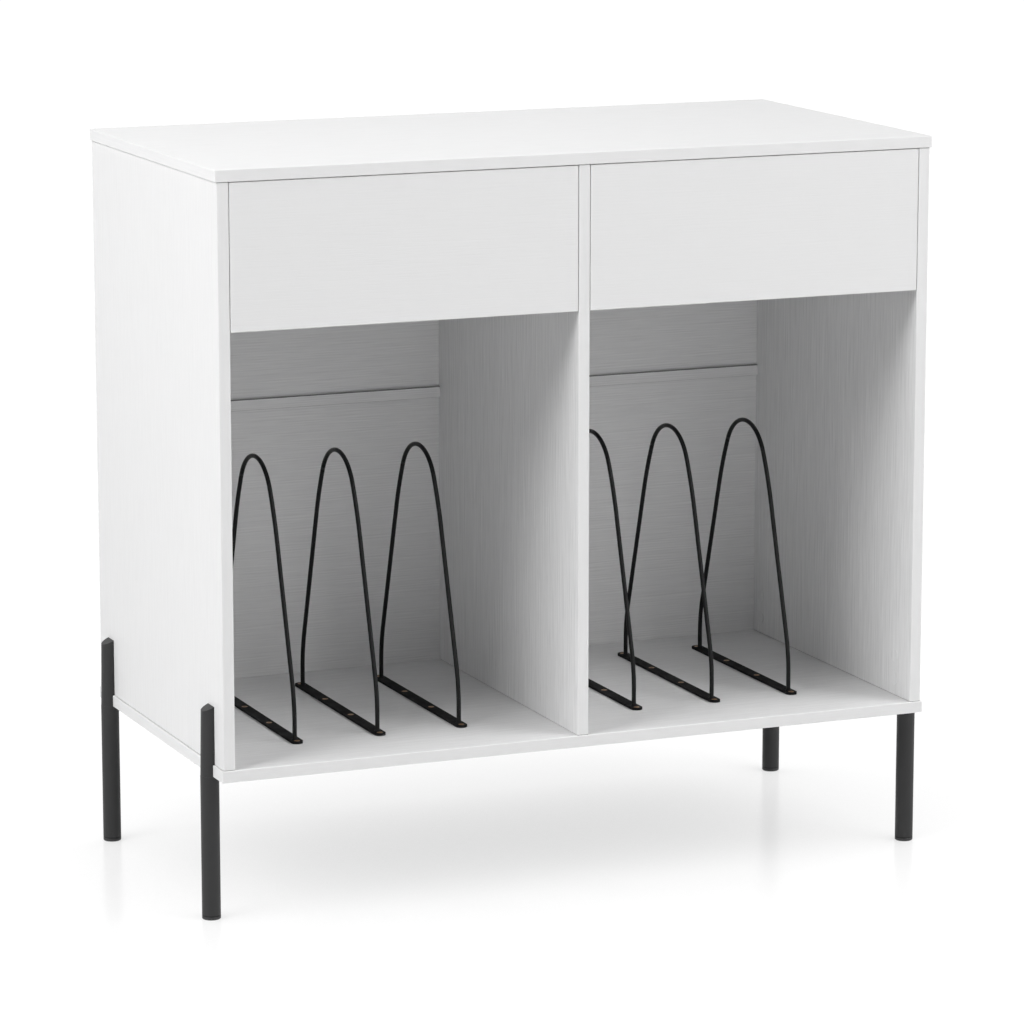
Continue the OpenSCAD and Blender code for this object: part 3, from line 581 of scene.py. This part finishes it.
# %% Fittings, dowels and bolt covers
steel_nodes = ["cabinet_cam_fittings"]
for side in ("left", "right"):
    steel_nodes += [f"{side}_drawer_cam_fittings", f"{side}_drawer_ball_cages"]
    for hand in ("left", "right"):
        steel_nodes += [f"{side}_drawer_{hand}_rail", f"{side}_drawer_{hand}_runner"]
for node in steel_nodes:
    dress(node, zinc)
dress("dowels", beech_wood("beech"))
COVER_NUMBER = 40       # the covers' own part of the foil's pattern
dress("bolt_covers", white_foil("white foil of bolt covers", UPRIGHT, *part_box("bolt_covers"),
                                COVER_NUMBER))
print(len(steel_nodes), "steel fittings")

# %% [markdown]
# ## Running a Geometry Nodes tree
# A tree turns a few start points into finished shapes. Its sizes are named inputs, so that one
# tree makes all the screws, long and short. The result is turned into a plain mesh at the end,
# because a modifier and instances don't travel well to other programs.

# %% Start and end of a tree
SOCKETS = {"number": "NodeSocketFloat", "material": "NodeSocketMaterial"}
TOUCHING = 1e-6         # points nearer than this are one point


def new_tree(name, sizes):
    """A Geometry Nodes tree with named inputs, and the node outputs that give them."""
    tree = bpy.data.node_groups.new(name, "GeometryNodeTree")
    tree.interface.new_socket("Geometry", in_out="INPUT", socket_type="NodeSocketGeometry")
    tree.interface.new_socket("Geometry", in_out="OUTPUT", socket_type="NodeSocketGeometry")
    for label, kind in sizes.items():
        tree.interface.new_socket(label, in_out="INPUT", socket_type=SOCKETS[kind])
    return tree, tree.nodes.new("NodeGroupInput").outputs


def named(tree, label, kind):
    """A named attribute of the points or faces."""
    node = add(tree, "GeometryNodeInputNamedAttribute", {"Name": label}, data_type=kind)
    return node.outputs[0]


def end_tree(tree, shape, material, flagged=None):
    """Closes a tree: real geometry instead of instances, and the material.

    flagged: a second material, for the faces whose attribute "flag" is set."""
    real = add(tree, "GeometryNodeRealizeInstances", {"Geometry": shape})
    coated = add(tree, "GeometryNodeSetMaterial", {
        "Geometry": real.outputs[0], "Material": material})
    if flagged:
        coated = add(tree, "GeometryNodeSetMaterial", {
            "Geometry": coated.outputs[0], "Selection": named(tree, "flag", "BOOLEAN"),
            "Material": flagged})
    add(tree, "NodeGroupOutput", {"Geometry": coated.outputs[0]})


print("start and end of a tree ready")

# %% Shapes in a tree
def circle(tree, corners, radius):
    """A round curve, as a profile or a path."""
    return add(tree, "GeometryNodeCurvePrimitiveCircle", {
        "Resolution": corners, "Radius": radius}).outputs[0]


def swept(tree, path, profile, **more):
    """A profile drawn along a path."""
    return add(tree, "GeometryNodeCurveToMesh", {
        "Curve": path, "Profile Curve": profile, **more}).outputs[0]


def cone(tree, corners, low_radius, high_radius, height):
    """A cone that stands on its origin."""
    return add(tree, "GeometryNodeMeshCone", {
        "Vertices": corners, "Radius Top": high_radius, "Radius Bottom": low_radius,
        "Depth": height}, fill_type="NGON").outputs[0]


def rod(tree, corners, radius, height):
    """A cylinder with its middle at its origin."""
    return add(tree, "GeometryNodeMeshCylinder", {
        "Vertices": corners, "Radius": radius, "Depth": height}, fill_type="NGON").outputs[0]


def upwards(tree, height):
    """A vector that points up by a height."""
    return add(tree, "ShaderNodeCombineXYZ", {"Z": height}).outputs[0]


def moved(tree, shape, **inputs):
    """A shape after a Translation, a Rotation or a Scale."""
    return add(tree, "GeometryNodeTransform", {"Geometry": shape, **inputs}).outputs[0]


def copies(tree, points, shape, **turned):
    """One copy of a shape on every point."""
    return add(tree, "GeometryNodeInstanceOnPoints", {
        "Points": points, "Instance": shape, **turned}).outputs[0]


def joined(tree, shapes):
    """Several shapes as one."""
    join = add(tree, "GeometryNodeJoinGeometry")
    for shape in shapes:
        tree.links.new(shape, join.inputs["Geometry"])
    return join.outputs[0]


def cut_away(tree, shape, tools):
    """A shape less the tools that cut it."""
    cut = add(tree, "GeometryNodeMeshBoolean", {"Mesh 1": shape},
              operation="DIFFERENCE", solver="EXACT")
    for tool in tools:
        tree.links.new(tool, cut.inputs["Mesh 2"])
    return cut.outputs[0]


def welded(tree, shape):
    """A shape whose doubled points are made one."""
    return add(tree, "GeometryNodeMergeByDistance", {
        "Geometry": shape, "Distance": TOUCHING}).outputs[0]


print("shapes of a tree ready")

# %% From a tree to a plain piece
def grow(name, points, edges, attributes, tree, sizes):
    """Runs a tree on start points and keeps the result as a plain piece."""
    start = bpy.data.meshes.new(name + " start")
    start.from_pydata(points, edges, [])
    for label, (kind, values) in attributes.items():
        layer = start.attributes.new(label, kind, "POINT")
        for item, value in zip(layer.data, values):
            if kind == "FLOAT_VECTOR":
                item.vector = value
            else:
                item.value = value
    piece = bpy.data.objects.new(name, start)
    bpy.context.scene.collection.objects.link(piece)
    step = piece.modifiers.new("build", "NODES")
    step.node_group = tree
    for socket in tree.interface.items_tree:
        if socket.in_out == "INPUT" and socket.name in sizes:
            step[socket.identifier] = sizes[socket.name]
    bpy.context.view_layer.update()
    graph = bpy.context.evaluated_depsgraph_get()
    built = bpy.data.meshes.new_from_object(piece.evaluated_get(graph), depsgraph=graph)
    piece.modifiers.clear()
    for i in reversed(range(len(built.materials))):
        if built.materials[i] is None:      # an empty slot, left by the shapes before their paint
            built.materials.pop(index=i)
    piece.data = built
    built.name = name
    return piece


def stands_for(piece, node, body):
    """The piece takes the place of a CAD node on its body. Prints how far their boxes differ."""
    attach(piece, body)
    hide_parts(node)
    low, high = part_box(node)
    points = [vertex.co for vertex in piece.data.vertices]
    least = [min(point[i] for point in points) for i in range(3)]
    most = [max(point[i] for point in points) for i in range(3)]
    off = max(abs(a - b) for a, b in zip(least + most, [*low, *high]))
    piece.data.calc_loop_triangles()
    painted = {}
    for face in piece.data.polygons:
        paint = piece.data.materials[face.material_index].name
        painted[paint] = painted.get(paint, 0) + 1
    print(f"{piece.name}: {len(piece.data.loop_triangles)} triangles,",
          f"box off by {off * 1000:.2f} mm")
    print("    faces of each material:", painted)


print("tree helpers ready")

# %% [markdown]
# ## The wire dividers
# A divider is one wire, bent over a former: a tight crown, a slow shoulder, a straight leg and a
# wide bend above each foot. It could be drawn by hand as a curve, but a bender thinks in corners
# and radii: seven corners joined by straight lines, and each corner rounded to its own radius.
# Fillet Curve does just that. The two feet are welded to a flat strip with round ends and four
# countersunk holes.

# %% Corners of the bent wire
wire_diameter = 0.0046
half_span, foot_height = 0.111, 0.0012      # each foot ends inside the strip
loop_height = 0.276
crown_radius, shoulder_radius, foot_radius = 0.049, 0.335, 0.140
crown_turn = math.radians(63.7)
lean = math.radians(16.6)

crown_slope = math.radians(90) - crown_turn
shoulder_down = Vector((math.sin(crown_slope), -math.cos(crown_slope)))
leg_down = Vector((math.sin(lean), -math.cos(lean)))
apex = Vector((0.0, loop_height - crown_radius + crown_radius / math.cos(crown_turn)))
crown_end = apex + shoulder_down * crown_radius * math.tan(crown_turn)
shoulder = crown_end + shoulder_down * shoulder_radius * math.tan((crown_slope - lean) / 2)
knee = shoulder + leg_down * (half_span - shoulder.x) / leg_down.x
half_wire = [(Vector((half_span, foot_height)), 0.0), (knee, foot_radius),
             (shoulder, shoulder_radius)]
wire_corners = half_wire + [(apex, crown_radius)] + [
    (Vector((-corner.x, corner.y)), radius) for corner, radius in reversed(half_wire)]
print("corners (y, z) in mm:",
      [(round(corner.x * 1000, 1), round(corner.y * 1000, 1)) for corner, _ in wire_corners])

# %% Sizes of the strip and of all the screws
strip_width, strip_thick = 0.012, 0.0025
strip_reach = 0.118                           # from the middle of the strip to its end screws
strip_screw_ys = (-strip_reach, -0.034, 0.042, strip_reach)
divider_y = 0.001
divider_xs = (-0.281, -0.191, -0.101, 0.097, 0.187, 0.277)


def screw_sizes(head_diameter, head_height, shank_diameter, length, pitch):
    """The sizes of a screw, under the names of the tree's inputs."""
    return {"Head diameter": head_diameter, "Head height": head_height,
            "Shank diameter": shank_diameter, "Length": length, "Thread pitch": pitch}


divider_screw = screw_sizes(0.0066, 0.0016, 0.0035, 0.0115, 0.0013)
base_screw = screw_sizes(0.0090, 0.0025, 0.0050, 0.0470, 0.0022)
leg_bolt = screw_sizes(0.0110, 0.0028, 0.0060, 0.0180, 0.0010)
slide_screw = screw_sizes(0.0060, 0.0014, 0.0030, 0.0060, 0.0010)
drawer_back_screw = screw_sizes(0.0080, 0.0024, 0.0040, 0.0400, 0.0016)
print("strip of", 2 * strip_reach + strip_width, "m with screws of", divider_screw)

# %% Tree for a divider
WIRE, FEET, SCREWS = 0, 1, 2        # what the start points are for, in their attribute "part"
BEAD_RADIUS, BEAD_LUMPS = 0.0009, 0.0009
HOLE_FIT = 0.0001                   # how much wider a hole is than its screw
ROUND_CORNERS = 32


def weld_beads(tree, feet, wire_radius):
    """A lumpy ring of weld round each foot of the wire."""
    bead = swept(tree, circle(tree, 24, wire_radius), circle(tree, 10, BEAD_RADIUS))
    beads = add(tree, "GeometryNodeRealizeInstances", {
        "Geometry": copies(tree, feet, bead)}).outputs[0]
    lumps = add(tree, "ShaderNodeTexNoise", {"Scale": 700.0, "Detail": 1.0}).outputs["Color"]
    nudge = scaled(tree, vectors(tree, "SUBTRACT", lumps, (0.5, 0.5, 0.5)), BEAD_LUMPS)
    return add(tree, "GeometryNodeSetPosition", {
        "Geometry": beads, "Offset": nudge}).outputs[0]


def flat_strip(tree, size):
    """A flat strip with round ends: an outline, pulled up to its thickness."""
    outline = add(tree, "GeometryNodeCurvePrimitiveQuadrilateral", {
        "Width": size["Strip width"], "Height": size["Strip length"]}).outputs[0]
    nearly_half = maths(tree, "MULTIPLY", size["Strip width"], 0.4998)
    rounded = add(tree, "GeometryNodeFilletCurve", {
        "Curve": outline, "Radius": nearly_half, "Count": 16}, mode="POLY").outputs[0]
    plate = add(tree, "GeometryNodeFillCurve", {"Curve": rounded}, mode="NGONS").outputs[0]
    raised = add(tree, "GeometryNodeExtrudeMesh", {
        "Mesh": plate, "Offset": upwards(tree, size["Strip thickness"]), "Offset Scale": 1.0,
        "Individual": False}).outputs[0]
    under = add(tree, "GeometryNodeFlipFaces", {"Mesh": plate}).outputs[0]
    return welded(tree, joined(tree, (raised, under)))


def drilled(tree, strip, spots, size):
    """The strip less a countersunk hole at every spot."""
    head_radius = half(tree, maths(tree, "ADD", size["Screw head diameter"], HOLE_FIT))
    shank_radius = half(tree, maths(tree, "ADD", size["Screw shank diameter"], HOLE_FIT))
    sink = cone(tree, ROUND_CORNERS, shank_radius, head_radius, size["Screw head height"])
    hole = rod(tree, ROUND_CORNERS, shank_radius, 0.01)
    lid = rod(tree, ROUND_CORNERS, head_radius, 0.002)     # clears the cone's top
    sink_low = maths(tree, "SUBTRACT", size["Strip thickness"], size["Screw head height"])
    lid_middle = maths(tree, "ADD", size["Strip thickness"], 0.00099)
    drills = []
    for tool, height in ((sink, sink_low), (hole, 0.0), (lid, lid_middle)):
        at_height = moved(tree, tool, Translation=upwards(tree, height))
        drills.append(add(tree, "GeometryNodeRealizeInstances", {
            "Geometry": copies(tree, spots, at_height)}).outputs[0])
    return cut_away(tree, strip, drills)


def divider_tree():
    """Wire along the filleted corners, weld beads at its feet, and the drilled strip."""
    tree, size = new_tree("bent wire divider", {
        "Wire diameter": "number", "Strip width": "number", "Strip thickness": "number",
        "Strip length": "number", "Screw head diameter": "number", "Screw head height": "number",
        "Screw shank diameter": "number", "Material": "material", "Strip material": "material"})
    part = named(tree, "part", "INT")

    def only(number):
        """The start points for one part."""
        same = add(tree, "FunctionNodeCompare", {2: part, 3: number},
                   data_type="INT", operation="EQUAL")
        return add(tree, "GeometryNodeSeparateGeometry", {
            "Geometry": size["Geometry"], "Selection": same.outputs[0]},
            domain="POINT").outputs[0]

    wire_radius = half(tree, size["Wire diameter"])
    path = add(tree, "GeometryNodeMeshToCurve", {"Mesh": only(WIRE)}).outputs[0]
    bent = add(tree, "GeometryNodeFilletCurve", {
        "Curve": path, "Radius": named(tree, "bend", "FLOAT"), "Count": 24},
        mode="POLY").outputs[0]
    wire = swept(tree, bent, circle(tree, 20, wire_radius), **{"Fill Caps": True})
    beads = weld_beads(tree, only(FEET), wire_radius)
    strip = drilled(tree, flat_strip(tree, size), only(SCREWS), size)

    round_parts = add(tree, "GeometryNodeSetShadeSmooth", {
        "Geometry": joined(tree, (wire, beads)), "Shade Smooth": True}).outputs[0]
    flat_parts = add(tree, "GeometryNodeSetShadeSmooth", {
        "Geometry": strip, "Shade Smooth": False}).outputs[0]
    flagged = add(tree, "GeometryNodeStoreNamedAttribute", {
        "Geometry": flat_parts, "Name": "flag", "Value": True},
        data_type="BOOLEAN", domain="FACE").outputs[0]
    end_tree(tree, joined(tree, (round_parts, flagged)), size["Material"],
             size["Strip material"])
    return tree


divider = divider_tree()
print("divider tree with", len(divider.nodes), "nodes")

# %% Six dividers
divider_sizes = {
    "Wire diameter": wire_diameter, "Strip width": strip_width, "Strip thickness": strip_thick,
    "Strip length": 2 * strip_reach + strip_width,
    "Screw head diameter": divider_screw["Head diameter"],
    "Screw head height": divider_screw["Head height"],
    "Screw shank diameter": divider_screw["Shank diameter"],
    "Material": enamel, "Strip material": strip_paint}
start_points = [(0.0, corner.x, corner.y) for corner, _ in wire_corners]
start_points += [(0.0, y, strip_thick) for y in (-half_span, half_span)]
start_points += [(0.0, y, 0.0) for y in strip_screw_ys]
start_parts = [WIRE] * len(wire_corners) + [FEET] * 2 + [SCREWS] * len(strip_screw_ys)
start_bends = [radius for _, radius in wire_corners] + [0.0] * (2 + len(strip_screw_ys))
wire_lines = [(i, i + 1) for i in range(len(wire_corners) - 1)]
for number, x in enumerate(divider_xs, 1):
    piece = grow(f"wire_divider_{number}", start_points, wire_lines,
                 {"part": ("INT", start_parts), "bend": ("FLOAT", start_bends)},
                 divider, divider_sizes)
    for vertex in piece.data.vertices:
        vertex.co += Vector((x, divider_y, floor_top))
    stands_for(piece, f"record_divider_{number}", "cabinet")

# %% [markdown]
# ## The screws
# All the screws have one plan: a countersunk head with a cross recess, a shank and a thread.
# Modelling each would be slow, so one tree turns a row of radii into a lathe shape, cuts the
# cross with a Boolean, winds a small rib round the shank for the thread, and puts the screw on
# every start point, turned the way it is driven in.

# %% Tree for a screw
HEAD_EDGE = 0.00015                 # the small bevel at the rim of the head
RECESS_LIFT = (0.00002, 0.00001)    # the two blades stand a hair over the head, one less


def by_index(tree, index, values):
    """The value for each point of a row, by its number."""
    switch = add(tree, "GeometryNodeIndexSwitch", data_type="FLOAT")
    while len(switch.index_switch_items) < len(values):
        switch.index_switch_items.new()
    tree.links.new(index, switch.inputs["Index"])
    for i, value in enumerate(values):
        socket = switch.inputs[i + 1]
        if isinstance(value, bpy.types.NodeSocket):
            tree.links.new(value, socket)
        else:
            socket.default_value = value
    return switch.outputs[0]


def turned_body(tree, head_r, head_h, shank_r, core_r, length):
    """Head, shank and tip: a row of heights and radii, turned on a lathe."""
    neck = maths(tree, "ADD", head_h, maths(tree, "SUBTRACT", shank_r, core_r))
    heights = [0.0, HEAD_EDGE, head_h, neck, maths(tree, "SUBTRACT", length, shank_r), length]
    radii = [maths(tree, "SUBTRACT", head_r, HEAD_EDGE), head_r, shank_r, core_r, core_r,
             maths(tree, "MULTIPLY", core_r, 0.3)]
    index = add(tree, "GeometryNodeInputIndex").outputs[0]
    row = add(tree, "GeometryNodeMeshLine", {"Count": len(heights)}).outputs[0]
    down = maths(tree, "MULTIPLY", by_index(tree, index, heights), -1.0)
    placed = add(tree, "GeometryNodeSetPosition", {
        "Geometry": row, "Position": upwards(tree, down)}).outputs[0]
    axis = add(tree, "GeometryNodeMeshToCurve", {"Mesh": placed}).outputs[0]
    return swept(tree, axis, circle(tree, 28, 1.0),
                 **{"Scale": by_index(tree, index, radii), "Fill Caps": True})


def cross_blades(tree, head_r, head_h):
    """Two thin tapered blades that cut the cross recess."""
    blades = []
    for turn, lift in zip((0.0, math.radians(90)), RECESS_LIFT):
        blade = cone(tree, 4, maths(tree, "MULTIPLY", head_r, 0.66),
                     maths(tree, "MULTIPLY", head_r, 0.30), maths(tree, "MULTIPLY", head_h, 0.85))
        point_down = moved(tree, blade, Rotation=(math.pi, 0.0, 0.0),
                           Translation=(0.0, 0.0, lift))
        thin = moved(tree, point_down, Scale=(1.0, 0.24, 1.0))
        blades.append(moved(tree, thin, Rotation=(0.0, 0.0, turn)))
    return blades


def thread(tree, head_h, shank_r, core_r, length, pitch):
    """A small rib wound round the core, down to the tip."""
    top = maths(tree, "MULTIPLY", head_h, 1.9)
    run = maths(tree, "SUBTRACT", maths(tree, "SUBTRACT", length, top), shank_r)
    spiral = add(tree, "GeometryNodeCurveSpiral", {
        "Resolution": 14, "Rotations": maths(tree, "DIVIDE", run, pitch),
        "Start Radius": core_r, "End Radius": core_r, "Height": run}).outputs[0]
    profile = circle(tree, 4, maths(tree, "SUBTRACT", shank_r, core_r))
    rib = swept(tree, spiral, profile, **{"Fill Caps": True})
    low_end = upwards(tree, maths(tree, "SUBTRACT", shank_r, length))
    return moved(tree, rib, Translation=low_end)


def screw_tree():
    """A countersunk screw along -Z with its head flush at the origin, put on every point."""
    tree, size = new_tree("countersunk screw", {
        "Head diameter": "number", "Head height": "number", "Shank diameter": "number",
        "Length": "number", "Thread pitch": "number", "Material": "material"})
    head_r, shank_r = half(tree, size["Head diameter"]), half(tree, size["Shank diameter"])
    core_r = maths(tree, "MULTIPLY", shank_r, 0.80)
    length, head_h = size["Length"], size["Head height"]
    body = turned_body(tree, head_r, head_h, shank_r, core_r, length)
    recessed = welded(tree, cut_away(tree, body, cross_blades(tree, head_r, head_h)))
    rib = thread(tree, head_h, shank_r, core_r, length, size["Thread pitch"])
    drive = scaled(tree, named(tree, "drive", "FLOAT_VECTOR"), -1.0)
    turn_to = add(tree, "FunctionNodeAlignRotationToVector", {"Vector": drive},
                  axis="Z").outputs[0]
    screws = copies(tree, size["Geometry"], joined(tree, (recessed, rib)), Rotation=turn_to)
    end_tree(tree, screws, size["Material"])
    return tree


screw = screw_tree()
print("screw tree with", len(screw.nodes), "nodes")

# %% Where the screws sit
UP, DOWN, TO_LEFT, TO_RIGHT = (0, 0, 1), (0, 0, -1), (-1, 0, 0), (1, 0, 0)
OUTWARDS, INWARDS = {-1: TO_LEFT, 1: TO_RIGHT}, {-1: TO_RIGHT, 1: TO_LEFT}  # by side of a middle

strip_top = floor_top + strip_thick
panel_under, upright_xs, base_screw_ys = 0.148, (-0.382, 0.0, 0.382), (-0.135, 0.125)
side_inside, leg_y, bolt_heights = 0.376, 0.1626, (0.178, 0.203)
bay_middle = 0.191                                  # from the stand's middle to a bay's middle
rail_screw_x, runner_screw_x, back_screw_x = 0.184, 0.176, 0.175    # from the bay's middle
slide_screw_ys = (-0.149, -0.015, 0.119)
slide_z = sum(corner[2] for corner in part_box("left_drawer_left_rail")) / 2
back_screw_y, back_screw_lifts = 0.152, (0.030, 0.088)
drawer_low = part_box("left_drawer_left_side")[0][2]

divider_spots = [((x, divider_y + y, strip_top), DOWN)
                 for x in divider_xs for y in strip_screw_ys]
base_spots = [((x, y, panel_under), UP) for x in upright_xs for y in base_screw_ys]
bolt_spots = [((side * side_inside, y, z), OUTWARDS[side])
              for side in (-1, 1) for y in (-leg_y, leg_y) for z in bolt_heights]
rail_spots, runner_spots, back_spots = [], {"left": [], "right": []}, {"left": [], "right": []}
for bay, middle_x in (("left", -bay_middle), ("right", bay_middle)):
    for hand in (-1, 1):
        for y in slide_screw_ys:
            rail_spots.append(((middle_x + hand * rail_screw_x, y, slide_z), OUTWARDS[hand]))
            runner_spots[bay].append(
                ((middle_x + hand * runner_screw_x, y, slide_z), INWARDS[hand]))
        for lift in back_screw_lifts:
            back_spots[bay].append(
                ((middle_x + hand * back_screw_x, back_screw_y, drawer_low + lift),
                 INWARDS[hand]))
print(len(divider_spots), "divider screws and", len(rail_spots), "rail screws to set")

# %% Eight sets of screws
def screw_set(node, body, material, spots, sizes):
    """Screws at (place, drive direction) spots, in place of a CAD node."""
    piece = grow(node + "_detail", [place for place, _ in spots], [],
                 {"drive": ("FLOAT_VECTOR", [way for _, way in spots])}, screw,
                 {**sizes, "Material": material})
    stands_for(piece, node, body)


screw_set("divider_screws", "cabinet", bronze, divider_spots, divider_screw)
screw_set("base_screws", "cabinet", zinc, base_spots, base_screw)
screw_set("leg_bolts", "cabinet", zinc, bolt_spots, leg_bolt)
screw_set("slide_rail_screws", "cabinet", zinc, rail_spots, slide_screw)
for bay in ("left", "right"):
    screw_set(f"{bay}_drawer_runner_screws", f"{bay}_drawer", zinc,
              runner_spots[bay], slide_screw)
    screw_set(f"{bay}_drawer_back_screws", f"{bay}_drawer", zinc,
              back_spots[bay], drawer_back_screw)
